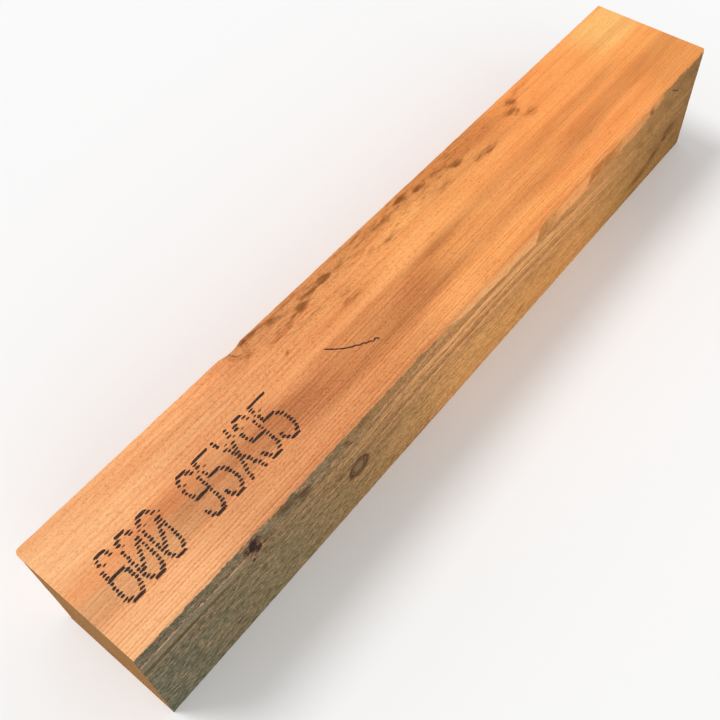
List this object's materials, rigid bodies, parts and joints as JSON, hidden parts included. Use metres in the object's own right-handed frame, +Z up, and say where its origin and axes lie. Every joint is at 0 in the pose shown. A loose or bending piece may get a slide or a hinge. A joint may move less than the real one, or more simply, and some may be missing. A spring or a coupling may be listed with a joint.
{
  "type": "square-sawn softwood timber",
  "caption": "Short straight length of square-sawn softwood with sawn ends, a slight wane and chips along one top arris, lying flat.",
  "frame": {"origin": "middle of the sawn underside, on the floor that the timber lies on", "axes": "+X along the grain from the near end to the far end, +Y towards the left side, +Z up through the printed top"},
  "size_m": [0.6, 0.095, 0.095],
  "materials": {
    "wood": "sawn, unplaned, slightly weathered on one side"
  },
  "bodies": {
    "root": {"timber": "wood"}
  },
  "joints": []
}
